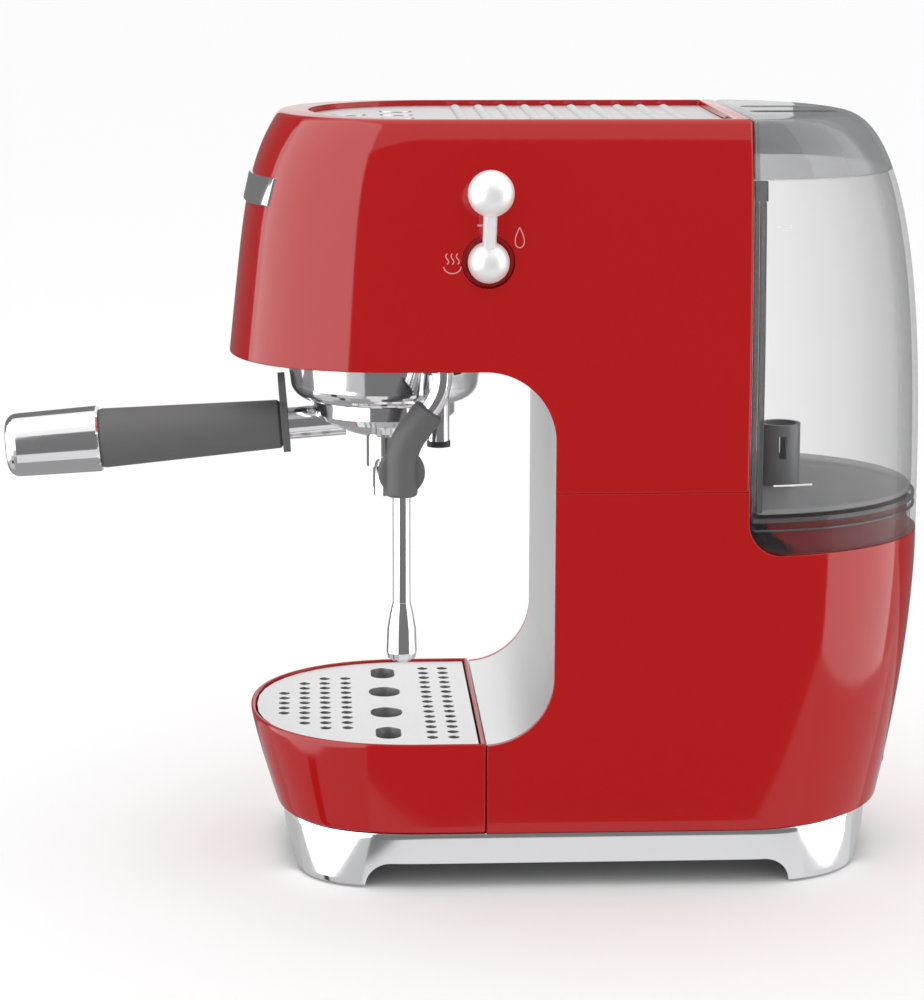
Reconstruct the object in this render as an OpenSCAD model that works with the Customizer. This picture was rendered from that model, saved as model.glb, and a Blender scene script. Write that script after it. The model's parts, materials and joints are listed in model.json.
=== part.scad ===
// Slim pump espresso machine: pressed housing in two shells on a bright base ring,
// bayonet group with portafilter, steam wand, drip tray, rear water tank and side lever.
// X points to the user's right, -Y to the front, Z up. The origin is the middle of the
// base on the table. Millimetres.

/* [Housing] */
// Height of the top rim above the table
body_h = 330; // [326:1:334]
// Half of the housing's width
half_w = 74.5; // [73:0.5:76]
// Height of the head's underside
head_z = 226; // [224:1:228]
// Height of the seam between the two housing shells
seam_z = 174; // [170:1:178]
// Height of the drip tray's rim line
floor_z = 64; // [62:1:66]
// Height of the base ring's top edge
skirt_z = 25; // [24:0.5:26]
// Wall thickness of the housing shells
wall = 2.5; // [2:0.1:3]
// Wall of the cup niche, measured along Y
niche_y = -14.3; // [-16:0.1:-12]
// Radius of the niche's upper and lower corners
niche_r = 30; // [28:1:32]
// Plane where the drip tray meets the housing
tray_y = -43; // [-44:0.5:-42]
// Plane where the water tank meets the housing
tank_y = 68; // [67:0.5:69]

/* [Group and portafilter] */
// Place of the group's axis along Y
group_y = -84.5; // [-85.5:0.5:-83.5]
// Radius of the group's shroud where it meets the head
shroud_r = 43.5; // [43:0.5:44]
// Outer radius of the portafilter's bowl
bowl_r = 31.2; // [31:0.1:31.4]
// Slope of the portafilter's handle below level, in degrees
handle_drop = 4.3; // [3:0.1:6]
// Length of the handle's grip
grip_len = 80; // [76:1:84]
// Length of the handle's end cap
cap_len = 41.2; // [39:0.1:43]

/* [Steam wand and lever] */
// Place of the wand's ball joint across the housing
wand_x = 56; // [55.5:0.1:56.5]
// Place of the wand's ball joint along Y
wand_y = -61.5; // [-62:0.1:-61]
// Height of the wand's tip
wand_tip_z = 97.8; // [95:0.1:102]
// Radius of the wand's straight tube
wand_r = 3.8; // [3.5:0.1:4]
// Place of the lever along Y
lever_y = -43; // [-45:0.5:-41]
// Height of the lever's hub
lever_z = 272; // [270:0.5:274]
// Height of the lever's knob above its hub
knob_lift = 30; // [28:0.5:32]
// Radius of the lever's knob
knob_r = 9.6; // [9:0.1:10]

/* [Water tank and drip tray] */
// Rearmost point of the tank
rear_tip = 153; // [151:1:155]
// Height of the tank's lower edge
tank_z = 146; // [144:1:148]
// Height of the joint between tank and lid
lid_z = 305; // [303:1:307]
// Front tip of the drip tray's rim
tray_tip = -145; // [-146:0.5:-144]
// Diameter of the grille's small holes
drain_d = 4.9; // [4.5:0.1:5.2]
// Distance between the small holes of one row
drain_pitch = 8.4; // [8.2:0.1:8.8]

/* [Hidden] */
$fn = 64;
gap = 0.4;

red = [0.69, 0.07, 0.07];
steel = [0.84, 0.84, 0.84];
chrome = [0.9, 0.9, 0.9];
grey = [0.42, 0.42, 0.42];
dark = [0.18, 0.18, 0.18];
brass = [0.78, 0.62, 0.3];
smoke = [0.6, 0.62, 0.63, 0.5];
rubber = [0.12, 0.12, 0.12];

wand_pivot = [wand_x, wand_y, head_z + 3];
lever_pivot = [half_w - 1, lever_y, lever_z];
knob_at = lever_pivot + [14.5, 0, knob_lift];

// Housing outline: the nose leans back and the sides lean in above the head's underside.
lean_w = 13.5;
lean_y = 9;
lean_power = 5.5;
head_cy = -78;
head_n = 2.25;
tray_cy = -70;
low_cy = -60;
low_tip = -133.6;
low_n = 2.8;
top_rear = 113;
bulge_z = 140;
arc_n = 20;
rim = 3;
panel_t = 1;

function signed_pow(v, e) = sign(v) * pow(abs(v), e);

function arc(w, b, cy, n, from, to) =
    [for (i = [0:arc_n]) let (t = from + (to - from) * i / arc_n)
        [w * signed_pow(cos(t), 2 / n), cy + b * signed_pow(sin(t), 2 / n)]];

function lean(z) = let (t = max(0, z - head_z) / (body_h - head_z))
    (t + pow(t, lean_power)) / 2;

function side_w(z) = half_w - lean_w * lean(z);

function rear_y(z) = z > bulge_z
    ? top_rear + (rear_tip - top_rear)
        * pow(max(0, 1 - pow((z - bulge_z) / (body_h - bulge_z), 3)), 0.44)
    : rear_tip - 11.7 * pow((bulge_z - z) / 100, 1.7);

function at_z(outline, z) = [for (p = outline) [p[0], p[1], z]];

// Outline of the head and the column behind it, inset by d.
function head_outline(z, d) =
    let (w = side_w(z) - d, f = lean(z))
    concat(arc(w, half_w - lean_w * f - d, head_cy + lean_y * f, head_n, 180, 360),
        [[w, tank_y - d], [-w, tank_y - d]]);

// Outline with a flat front at y and a round rear, inset by d.
function rear_outline(z, y, d) =
    let (w = side_w(z) - d, b = rear_y(z) - tank_y - d)
    let (start = asin(max(0, y + d - tank_y) / b))
    concat(start > 0 ? [] : [[-w, y + d], [w, y + d]],
        arc(w, b, tank_y, 2, start, 180 - start));

// Outline of the drip tray, which narrows towards the base, inset by d.
function tray_outline(z, d) =
    let (u = pow(max(0, floor_z + 1 - z) / (floor_z + 1 - skirt_z), 1.2))
    let (cy = tray_cy + (low_cy - tray_cy) * u, tip = tray_tip + (low_tip - tray_tip) * u)
    concat(arc(half_w - d, cy - tip - d, cy, head_n + (low_n - head_n) * u, 180, 360),
        [[half_w - d, tray_y - gap - d], [-half_w + d, tray_y - gap - d]]);

// Outline of the base ring, u from 0 at its top edge to 1 at the feet, inset by d.
function base_outline(u, d) =
    let (w = half_w - 0.8 - 0.7 * u - d)
    concat(arc(w, 71.5 - 3.5 * u - d, low_cy, low_n + 0.7 * u, 180, 360),
        arc(w, 65 - 3 * u - d, tank_y, 2.1 + 0.4 * u, 0, 180));

// Closed solid through a stack of outlines with the same number of points.
module loft(rings) {
    n = len(rings[0]);
    m = len(rings);
    points = [for (ring = rings) for (p = ring) p];
    sides = [for (k = [0:m - 2]) for (i = [0:n - 1]) let (j = (i + 1) % n)
        for (f = [[k * n + i, (k + 1) * n + i, (k + 1) * n + j],
            [k * n + i, (k + 1) * n + j, k * n + j]]) f];
    bottom = [for (i = [0:n - 1]) i];
    top = [for (i = [n - 1:-1:0]) (m - 1) * n + i];
    polyhedron(points, concat(sides, [bottom, top]));
}

// Round tube swept along points, which never run along X.
module hose(path, r, sides) {
    last = len(path) - 1;
    loft([for (i = [0:last])
        let (t = path[min(i + 1, last)] - path[max(i - 1, 0)], along = t / norm(t))
        let (across = cross(along, [1, 0, 0]), u = across / norm(across), v = cross(along, u))
        [for (k = [0:sides - 1])
            path[i] + r * (cos(360 * k / sides) * u + sin(360 * k / sides) * v)]]);
}

module box(low, high) {
    translate(low) cube(high - low);
}

module rod(at, r, len) {
    translate(at) cylinder(r = r, h = len);
}

module rod_x(at, r, len) {
    translate(at) rotate([0, 90, 0]) cylinder(r = r, h = len);
}

module rod_y(at, r, len) {
    translate(at) rotate([-90, 0, 0]) cylinder(r = r, h = len);
}

module ring(outer, inner, z0, z1) {
    translate([0, 0, z0]) difference() {
        cylinder(r = outer, h = z1 - z0);
        translate([0, 0, -1]) cylinder(r = inner, h = z1 - z0 + 2);
    }
}

module at_group() {
    translate([0, group_y, 0]) children();
}

// The cup niche, grown by e into the housing.
module niche_void(e) {
    far = 100;
    centre_y = niche_y - niche_r;
    box([-far, -2 * far, floor_z - e], [far, centre_y, head_z + e]);
    box([-far, centre_y - 1, floor_z + niche_r], [far, niche_y + e, head_z - niche_r]);
    for (z = [floor_z + niche_r, head_z - niche_r])
        rod_x([-far, centre_y, z], niche_r + e, 2 * far);
}

// The notch that the water tank stands in, grown by e into the housing.
notch_r = 15;
module tank_void(e) {
    far = 100;
    box([-far, tank_y + notch_r, tank_z - e], [far, 2 * far, 4 * far]);
    box([-far, tank_y - e, tank_z + notch_r], [far, tank_y + notch_r + 1, 4 * far]);
    rod_x([-far, tank_y + notch_r, tank_z + notch_r], notch_r + e, 2 * far);
}

// The space between niche wall and front liner, within the red rims.
module panel_space(t) {
    intersection() {
        niche_void(t);
        translate([0, 0, floor_z - 2 * t]) linear_extrude(head_z - floor_z + 4 * t)
            polygon(head_outline(head_z, rim));
        box([-half_w, -200, floor_z - 2 * t], [half_w, 0, head_z + 2 * t]);
    }
}

// Holes through the head's underside.
nozzle_at = [43, -62.4];
nozzle_r = 4.6;
collar_r = 8.2;
group_r = 38;
module head_holes(d) {
    translate([0, 0, head_z - 2]) {
        rod([0, group_y, 0], group_r + d, 10);
        rod([wand_pivot[0], wand_pivot[1], 0], collar_r + 3 + d, 10);
        rod([nozzle_at[0], nozzle_at[1], 0], nozzle_r + d, 10);
    }
}

// Outline of the top plate, inset by d.
plate_w = 57;
plate_cy = -60;
plate_end = 60;
module plate_outline(d) {
    polygon(concat(arc(plate_w - d, plate_w - d, plate_cy, 2, 180, 360),
        [[plate_w - d, plate_end - d], [d - plate_w, plate_end - d]]));
}

plate_z = body_h - 4;
head_levels = [seam_z, head_z, 244, 262, 278, 292, 304, 314, 322, 327, body_h];
inner_levels = [seam_z - 1, head_z, 250, 275, 295, 310, 320, plate_z - 3];
lever_hole_r = 11.2;

module upper_housing() {
    color(red) difference() {
        loft([for (z = head_levels) at_z(head_outline(z, 0), z)]);
        niche_void(0);
        panel_space(panel_t);
        difference() {
            loft([for (z = inner_levels) at_z(head_outline(z, wall), z)]);
            niche_void(panel_t + wall);
        }
        translate([0, 0, plate_z]) linear_extrude(10) plate_outline(-0.3);
        translate([0, 0, plate_z - 8]) linear_extrude(10) plate_outline(5);
        head_holes(0.3);
        rod_x([half_w - 10, lever_pivot[1], lever_pivot[2]], lever_hole_r, 20);
    }
}

low_levels = [skirt_z, 38, 52, 70, 92, 116, tank_z, seam_z];
coupling_at = [12, 90];
gland_z = 40;
pedestal_top = tank_z + 14;
module lower_housing() {
    color(red) difference() {
        union() {
            difference() {
                loft([for (z = low_levels) at_z(rear_outline(z, tray_y, 0), z)]);
                niche_void(0);
                panel_space(panel_t);
                tank_void(0);
                difference() {
                    loft([for (z = [skirt_z - 1, 50, 80, 110, tank_z, seam_z + 1])
                        at_z(rear_outline(z, tray_y, wall), z)]);
                    niche_void(panel_t + wall);
                    tank_void(wall);
                }
            }
            intersection() {
                loft([for (z = [tank_z - 1, pedestal_top]) at_z(rear_outline(z, tank_y, 4), z)]);
                union() {
                    tank_void(-4);
                    box([-80, tank_y + notch_r + 4, tank_z - 6], [80, 200, tank_z + 6]);
                }
            }
        }
        difference() {
            loft([for (z = [tank_z - 6, pedestal_top - wall])
                at_z(rear_outline(z, tank_y, 8), z)]);
            box([-80, 0, 0], [80, tank_y + notch_r, 200]);
        }
        rod([coupling_at[0], coupling_at[1], 100], 6, 100);
        rod_y([0, rear_y(gland_z) - 10, gland_z], 6.5, 20);
    }
}

module niche_panel() {
    color(steel) difference() {
        panel_space(panel_t);
        niche_void(0);
        box([-100, -200, 0], [100, tray_y, floor_z + 10]);
        head_holes(0.3);
    }
}

foot_clear = 11.4;
foot_z = 0.8;
window_x = 33;
window_front = -84;
window_rear = 78;
module base_ring() {
    color(chrome) difference() {
        loft([at_z(base_outline(1, 0), foot_z), at_z(base_outline(0.2, 0), 12),
            at_z(base_outline(0, 0), skirt_z)]);
        loft([at_z(base_outline(1, 3), foot_z - 1), at_z(base_outline(0, 3), skirt_z + 1)]);
        box([-100, window_front, -5], [100, window_rear, foot_clear]);
        for (y = [window_front, window_rear]) rod_x([-100, y, 0], foot_clear, 200);
        box([-window_x, -200, -5], [window_x, 200, foot_clear]);
        for (x = [-window_x, window_x]) rod_y([x, -200, 0], foot_clear, 400);
    }
}

plate_low = 21.6;
pad_z = 6;
pad_at = [[-50, -101], [50, -101], [-48, 98], [48, 98]];
screw_at = [for (x = [-40, 40]) for (y = [-10, 40]) [x, y]];
screw_r = 2;
module base_plate() {
    color(dark) difference() {
        union() {
            loft([at_z(base_outline(0, 4), plate_low), at_z(base_outline(0, 4), skirt_z - 0.4)]);
            for (p = pad_at) rod([p[0], p[1], pad_z], 10, plate_low - pad_z + 1);
        }
        for (p = screw_at) rod([p[0], p[1], plate_low - 1], screw_r, 10);
    }
}

module foot_pads() {
    color(rubber) for (p = pad_at) rod([p[0], p[1], 0], 9, pad_z);
}

module base_screws() {
    color(steel) for (p = screw_at) {
        rod([p[0], p[1], plate_low - 2.5], 2 * screw_r, 2.5);
        rod([p[0], p[1], plate_low - 1], screw_r, 9);
    }
}

frame_y = 50;
module inner_frame() {
    color(dark) difference() {
        union() {
            box([-50, frame_y, skirt_z], [50, frame_y + 3, 218]);
            box([-50, frame_y - 75, skirt_z], [50, frame_y + 3, skirt_z + 3]);
            for (x = [-50, 47]) box([x, frame_y - 40, 196], [x + 3, frame_y + 3, 218]);
            for (x = [-50, 47]) box([x, -44, 230], [x + 3, frame_y + 3, 236]);
            for (x = [-50, 47]) box([x, frame_y - 40, 210], [x + 3, frame_y + 3, 236]);
        }
        rod_y([4.2, frame_y - 1, 62], 8, 10);
        for (p = screw_at) rod([p[0], p[1], skirt_z - 1], screw_r, 10);
    }
}

rib_first = -51.5;
rib_pitch = 10.45;
rib_half = 43;
plate_t = 1.6;
button_r = 7;
button_at = [[0, -99.6], [-20, -79], [0, -79], [20, -79]];
module top_plate() {
    rib_r = 3;
    color(steel) difference() {
        union() {
            translate([0, 0, plate_z]) linear_extrude(plate_t) plate_outline(0);
            for (i = [0:9]) translate([0, rib_first + rib_pitch * i, plate_z + plate_t - 1.6]) {
                rod_x([-rib_half, 0, 0], rib_r, 2 * rib_half);
                for (x = [-rib_half, rib_half]) translate([x, 0, 0]) sphere(r = rib_r);
            }
        }
        box([-100, -200, plate_z - 20], [100, 200, plate_z]);
        for (p = button_at) rod([p[0], p[1], plate_z - 5], button_r + 0.25, 20);
    }
}

module button(i) {
    p = button_at[i];
    color(steel) translate([p[0], p[1], plate_z + plate_t]) {
        rod([0, 0, -3.2], button_r, 3.6);
        rod([0, 0, -5.2], button_r + 1.5, 2);
        rod([0, 0, -9.4], 2, 5);
    }
}
module button_front() { button(0); }
module button_left() { button(1); }
module button_middle() { button(2); }
module button_right() { button(3); }

board_z = 313;
module control_board() {
    color([0.1, 0.35, 0.2]) {
        box([-38, -112, board_z], [38, -64, board_z + 1.6]);
        for (p = button_at) rod([p[0], p[1], board_z + 1.6], 3, 1.6);
        for (x = [-28, 24]) box([x, -74, board_z - 6], [x + 8, -66, board_z]);
    }
}

block_z = 244;
block_low = [-42, -120, block_z];
block_high = [42, -48, 290];
block_screws = [for (x = [-35, 35]) for (y = [-112, -84, -56]) [x, y]];
module thermoblock() {
    color([0.62, 0.63, 0.65]) difference() {
        union() {
            box(block_low, block_high);
            for (i = [0:5]) box([-29.5 + 11 * i, -114, 290], [-25.5 + 11 * i, -54, 295]);
            rod_y([20, -48, 262], 6, 8);
        }
        for (p = block_screws) rod([p[0], p[1], 280], 2, 20);
        rod_y([20, -60, 262], 3.2, 30);
        rod([0, group_y, block_z - 1], 3, 30);
    }
}

module thermoblock_screws() {
    color(steel) for (p = block_screws) {
        rod([p[0], p[1], 280], 2, 10);
        rod([p[0], p[1], 290], 3.5, 2.5);
    }
}

collar_z = 205.5;
ledge_top = 209.5;
gasket_top = 226.5;
module group_head() {
    color(brass) at_group() difference() {
        rod([0, 0, gasket_top], group_r, block_z - gasket_top);
        rod([0, 0, gasket_top - 1], 2.5, 12);
        rod([0, 0, block_z - 10], 3, 20);
        for (a = [30:60:330]) rotate(a) rod([10, 0, gasket_top - 1], 1.2, 12);
    }
}

module bayonet_ring() {
    color(chrome) at_group() {
        ring(group_r, 34.3, ledge_top, gasket_top);
        for (a = [-20, 160]) rotate(a) rotate_extrude(angle = 130)
            polygon([[31.8, collar_z], [35, collar_z], [35, ledge_top], [31.8, ledge_top]]);
    }
}

shroud_low = 204;
module group_shroud() {
    r = 8;
    t = 1.2;
    c = [33.5, shroud_low + r];
    outer = [for (a = [0:-10:-90]) c + r * [cos(a), sin(a)]];
    inner = [for (a = [-90:10:0]) c + (r - t) * [cos(a), sin(a)]];
    color(chrome) at_group() rotate_extrude() polygon(concat(
        [[group_r + 0.02, head_z], [shroud_r, head_z]], outer,
        [[bowl_r + 0.6, shroud_low], [bowl_r + 0.6, shroud_low + t]], inner,
        [[shroud_r - t, head_z - t], [group_r + 0.02, head_z - t]]));
}

module group_gasket() {
    color(rubber) at_group() ring(31, 25, 220.1, gasket_top);
}

screen_z = 221.5;
module shower_screen() {
    color(steel) at_group() difference() {
        union() {
            rod([0, 0, screen_z], 24.8, 1);
            ring(24.8, 24, screen_z, gasket_top);
        }
        rod([0, 0, screen_z - 1], 2.5, 5);
        for (r = [8, 14, 20]) for (a = [0:120 / r * 3:359]) rotate(a)
            rod([r, 0, screen_z - 1], 0.9, 3);
    }
}

module shower_screw() {
    color(steel) at_group() {
        rod([0, 0, screen_z - 1.4], 4.5, 1.4);
        rod([0, 0, screen_z - 1], 2.5, 14);
    }
}

pump_at = [0, 18, 56];
module pump() {
    translate(pump_at) {
        color(dark) difference() {
            rod([0, 0, 12], 21, 44);
            rod([0, 0, 10], 9, 60);
        }
        color(brass) rod([0, 0, 56], 9, 12);
        color(brass) rod([0, 0, 8], 9, 49);
        color(brass) rod([0, 0, 68], 3.5, 10);
        color(grey) rod([0, 0, 0], 3.5, 8);
        color(steel) for (z = [14, 50]) ring(24, 21, z, z + 4);
    }
}

module pump_mounts() {
    color(rubber) for (z = [70, 106]) difference() {
        box([-12, 30, z], [12, frame_y, z + 4]);
        translate([pump_at[0], pump_at[1], z - 1]) cylinder(r = 24, h = 10);
    }
}

valve_x = [44, 60];
spindle_r = 3;
stem_r = 2.9;
bore_end = 3;
module steam_valve() {
    at = [lever_pivot[1], lever_pivot[2]];
    color(brass) difference() {
        union() {
            rod_x([valve_x[0], at[0], at[1]], 9, valve_x[1] - valve_x[0]);
            box([valve_x[0] + 4, at[0] - 4, at[1] - 24], [valve_x[0] + 12, at[0] + 4, at[1] - 6]);
        }
        rod_x([valve_x[0] + 4, at[0], at[1]], spindle_r + 0.05, 40);
    }
}

module lever_bezel() {
    color(red) difference() {
        rod_x([66, lever_pivot[1], lever_pivot[2]], lever_hole_r, 3);
        rod_x([60, lever_pivot[1], lever_pivot[2]], 9.3, 20);
    }
    color(red) difference() {
        rod_x([62, lever_pivot[1], lever_pivot[2]], lever_hole_r, 4);
        rod_x([60, lever_pivot[1], lever_pivot[2]], spindle_r + 0.1, 20);
    }
}

module lever_stem_rod(r) {
    d = knob_at - lever_pivot;
    translate(lever_pivot + d * 0.12) rotate([0, atan2(d[0], d[2]), 0])
        cylinder(r = r, h = norm(d) * 0.74);
}

module lever_spindle() {
    from = valve_x[0] + 6;
    color(steel) rod_x([from, lever_y, lever_z], spindle_r, lever_pivot[0] - bore_end - from);
}

// Ball with a flat back and a blind bore for the spindle.
module lever_hub() {
    r = 8.75;
    flat = 7.3;
    from = -asin(flat / r);
    steps = 24;
    ball = [for (i = [0:steps - 1]) let (a = from + (90 - from) * i / steps) r * [cos(a), sin(a)]];
    color(chrome) difference() {
        translate(lever_pivot) rotate([0, 90, 0]) rotate_extrude() polygon(
            concat([[spindle_r, -flat]], ball, [[0, r], [0, -bore_end], [spindle_r, -bore_end]]));
        lever_stem_rod(stem_r);
    }
}

module lever_stem() {
    color(chrome) lever_stem_rod(stem_r);
}

module lever_knob() {
    color(chrome) difference() {
        translate(knob_at) sphere(r = knob_r);
        lever_stem_rod(stem_r);
    }
}

nozzle_low = 191.6;
module water_nozzle() {
    color(chrome) difference() {
        rod([nozzle_at[0], nozzle_at[1], nozzle_low], nozzle_r, head_z + panel_t - nozzle_low);
        rod([nozzle_at[0], nozzle_at[1], nozzle_low - 1], 3, 60);
    }
}

module nozzle_ring() {
    color(dark) translate([nozzle_at[0], nozzle_at[1], 0])
        ring(nozzle_r + 0.4, 2.2, nozzle_low - 2.4, nozzle_low);
}

module at_wand() {
    translate([wand_pivot[0], wand_pivot[1], 0]) children();
}

collar_low = 223;
collar_high = 237;
module wand_socket() {
    color(dark) at_wand() {
        ring(collar_r + 3, collar_r + 0.06, head_z + panel_t + 0.1, collar_high - 1);
    }
}

ball_r = 6.4;
pin_r = 1.15;
pipe_r = 4.2;
module wand_collar() {
    color(dark) difference() {
        at_wand() rod([0, 0, collar_low], collar_r, collar_high - collar_low);
        translate(wand_pivot) sphere(r = ball_r + 0.1);
        at_wand() rod([0, 0, collar_low - 1], pipe_r + 0.4, wand_pivot[2] - collar_low + 1);
        box([wand_pivot[0], wand_pivot[1] - pipe_r - 0.4, 200],
            [wand_pivot[0] + 20, wand_pivot[1] + pipe_r + 0.4, wand_pivot[2]]);
        at_wand() rod([0, 0, wand_pivot[2]], 3, 20);
        rod_y(wand_pivot - [0, 2 * collar_r, 0], pin_r + 0.1, 4 * collar_r);
    }
}

// The wand's bent line: down from the ball, forward by bend_a, and down again.
bend_r = 24;
bend_a = 38;
bend_top = 222;
bend_mid = 11.6;
bend_steps = 5;
wand_dy = -2 * bend_r * (1 - cos(bend_a)) - bend_mid * sin(bend_a);
straight_z = bend_top - 2 * bend_r * sin(bend_a) - bend_mid * cos(bend_a);
grip_low = 170;
pipe_sides = 20;
upper_bend = [for (i = [0:bend_steps]) let (a = bend_a * i / bend_steps)
    [0, -bend_r * (1 - cos(a)), bend_top - bend_r * sin(a)]];
lower_bend = [for (i = [bend_steps:-1:0]) let (a = bend_a * i / bend_steps)
    [0, wand_dy + bend_r * (1 - cos(a)), straight_z + bend_r * sin(a)]];

pipe_top = wand_pivot[2] - 3;
module wand_ball() {
    color(chrome) difference() {
        translate(wand_pivot) {
            sphere(r = ball_r);
            for (s = [-1, 1]) rotate([90 * s, 0, 0]) rod([0, 0, ball_r - 1.4], pin_r, 2.9);
        }
        at_wand() rod([0, 0, pipe_top - 20], pipe_r, 20);
        at_wand() rod([0, 0, pipe_top - 1], 2.5, 20);
    }
}

module wand_pipe() {
    color(chrome) at_wand()
        hose(concat([[0, 0, pipe_top]], upper_bend, lower_bend), pipe_r, pipe_sides);
}

module wand_grip() {
    color(grey) at_wand() difference() {
        union() {
            hose(concat([upper_bend[bend_steps]], lower_bend, [[0, wand_dy, grip_low]]),
                6.85, pipe_sides);
            translate([-2.2, wand_dy, straight_z - 3]) rotate([0, 90, 0])
                cylinder(r = 10, h = 4.4);
        }
        hose(concat(upper_bend, lower_bend), pipe_r, pipe_sides);
        rod([0, wand_dy, 100], wand_r, straight_z - 100);
        rod([0, wand_dy, straight_z - 12], pipe_r + 0.2, 12);
    }
}

tip_h = 26;
module wand_tube() {
    color(chrome) at_wand() difference() {
        rod([0, wand_dy, wand_tip_z + tip_h], wand_r, straight_z - 0.4 - wand_tip_z - tip_h);
        rod([0, wand_dy, wand_tip_z], 2, 200);
    }
}

module wand_nozzle() {
    color(chrome) at_wand() translate([0, wand_dy, wand_tip_z]) difference() {
        rotate_extrude() polygon([[1, 0], [3.5, 0], [6, 1.6], [6.5, 4], [6.2, 14],
            [5, 21], [wand_r, tip_h], [1, tip_h]]);
        for (a = [0:90:270]) rotate(a) rod([3, 0, -1], 0.6, 8);
    }
}

bowl_low = 186.8;
bowl_top = 219;
bowl_profile = [[9, bowl_low], [17.3, 189.5], [28, 194.5], [bowl_r, 197.5], [bowl_r, bowl_top]];
module portafilter_bowl() {
    color(chrome) at_group() {
        rotate_extrude() polygon(concat([[3, bowl_low]], bowl_profile,
            [[28.6, bowl_top], [28.6, 199], [26.5, 197], [16.5, 192], [3, 190]]));
        for (a = [-20, 160]) rotate(a) rotate_extrude(angle = 40)
            polygon([[bowl_r - 0.5, ledge_top + 0.4], [33.8, ledge_top + 0.4],
                [33.8, ledge_top + 4.4], [bowl_r - 0.5, ledge_top + 4.4]]);
    }
}

// Handle frame: +Z runs outwards along the handle, from a point under the group's edge.
handle_from = [0, group_y - 25.5, 193.3];
flange_at = 17.05;
flange_t = 3;
neck_in = 8;
module at_handle() {
    translate(handle_from) rotate([90 + handle_drop, 0, 0]) children();
}

module portafilter_neck() {
    color(chrome) difference() {
        at_handle() translate([0, 0, -neck_in]) cylinder(r = 7.1, h = flange_at + neck_in);
        at_group() rotate_extrude() polygon(concat([[0, bowl_low]], bowl_profile, [[0, bowl_top]]));
    }
}

module portafilter_spout() {
    arm_r = 5;
    reach = 9;
    color(chrome) at_group() difference() {
        union() {
            rod([0, 0, 173], 8, bowl_low - 173);
            for (side = [0, 180]) rotate(side) translate([reach, 0, 166.5]) {
                rod([0, 0, -5], arm_r, 5);
                rotate([90, 0, 180]) translate([reach, 0, 0]) mirror([1, 0, 0])
                    rotate_extrude(angle = 90) translate([reach, 0]) circle(r = arm_r);
            }
        }
        rod([0, 0, 180.5], 3, 10);
        rod_x([-8, 0, 174.5], 3, 16);
        for (x = [-reach, reach]) rod([x, 0, 152.5], 3.4, 16);
        rod_y([0, -20, 168.5], 4, 40);
    }
}

basket_z = 199.5;
module filter_basket() {
    color(steel) at_group() difference() {
        union() {
            rod([0, 0, basket_z], 28.5, bowl_top + 0.8 - basket_z);
            rod([0, 0, bowl_top], 30.6, 0.8);
        }
        rod([0, 0, basket_z + 0.8], 27.7, 30);
        for (r = [5, 10, 15, 20, 25]) for (a = [0:200 / r:359]) rotate(a)
            rod([r, 0, basket_z - 1], 0.7, 3);
    }
}

module handle_flange() {
    color(grey) at_handle() translate([0, 0, flange_at]) difference() {
        union() {
            rod([0, 0, 0], 12.7, flange_t);
            box([-7, 0, 0], [7, 15.9, flange_t]);
            rod([0, 15.9, 0], 7, flange_t);
        }
        rod([0, 0, -1], 4, 10);
    }
}

grip_at = flange_at + flange_t;
module handle_rod() {
    color(steel) at_handle() rod([0, 0, flange_at], 4, grip_len + 12);
}

module handle_grip() {
    color(grey) at_handle() translate([0, 0, grip_at]) rotate_extrude()
        polygon([[4, 0], [9.6, 0], [10.7, 1.2], [13.1, grip_len - 1.5],
            [12.6, grip_len], [4, grip_len]]);
}

module handle_cap() {
    round_r = 5;
    corner = [for (a = [0:15:90]) [13.9 - round_r, cap_len - round_r] + round_r * [cos(a), sin(a)]];
    color(chrome) at_handle() translate([0, 0, grip_at + grip_len]) difference() {
        rotate_extrude() polygon(concat([[0, 0], [13.9, 0], [14.5, 1]], corner, [[0, cap_len]]));
        rod([0, 0, -1], 4, 10);
    }
}

tray_top = floor_z + 1;
tray_low = skirt_z + 0.4;
tray_levels = [tray_low, 33, 42, 54, tray_top];
module tray_front() {
    color(red) difference() {
        loft([for (z = tray_levels) at_z(tray_outline(z, 0), z)]);
        loft([for (z = [tray_low + 2.5, 45, 56, 62, tray_top + 1]) at_z(tray_outline(z, 2), z)]);
    }
}

basin_top = 60;
module tray_basin() {
    color(dark) difference() {
        loft([for (z = [tray_low + 2.5, 40, basin_top]) at_z(tray_outline(z, 3), z)]);
        loft([for (z = [tray_low + 4.5, 40, basin_top + 1]) at_z(tray_outline(z, 4.8), z)]);
    }
}

grille_t = 1.4;
slot_y = -84.5;
drain_rows = [[-130, 5], [-120.8, 9], [-111.6, 11], [-102, 11], [-65.5, 15], [-56.3, 15]];
module slot(w, l, d, h) {
    r = min(w, l) / 2 + d;
    for (s = [-1, 1]) translate(w > l ? [s * (w - l) / 2, 0, 0] : [0, s * (l - w) / 2, 0])
        cylinder(r = r, h = h);
    translate([-(w > l ? w - l : 2 * r) / 2, -(w > l ? 2 * r : max(0.1, l - w)) / 2, 0])
        cube([w > l ? w - l : 2 * r, w > l ? 2 * r : max(0.1, l - w), h]);
}

module each_slot(d, h) {
    for (s = [-1, 1]) {
        translate([s * 17.5, slot_y, 0]) slot(17, 14, d, h);
        translate([s * 51, slot_y, 0]) slot(19, 11, d, h);
    }
}

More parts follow.
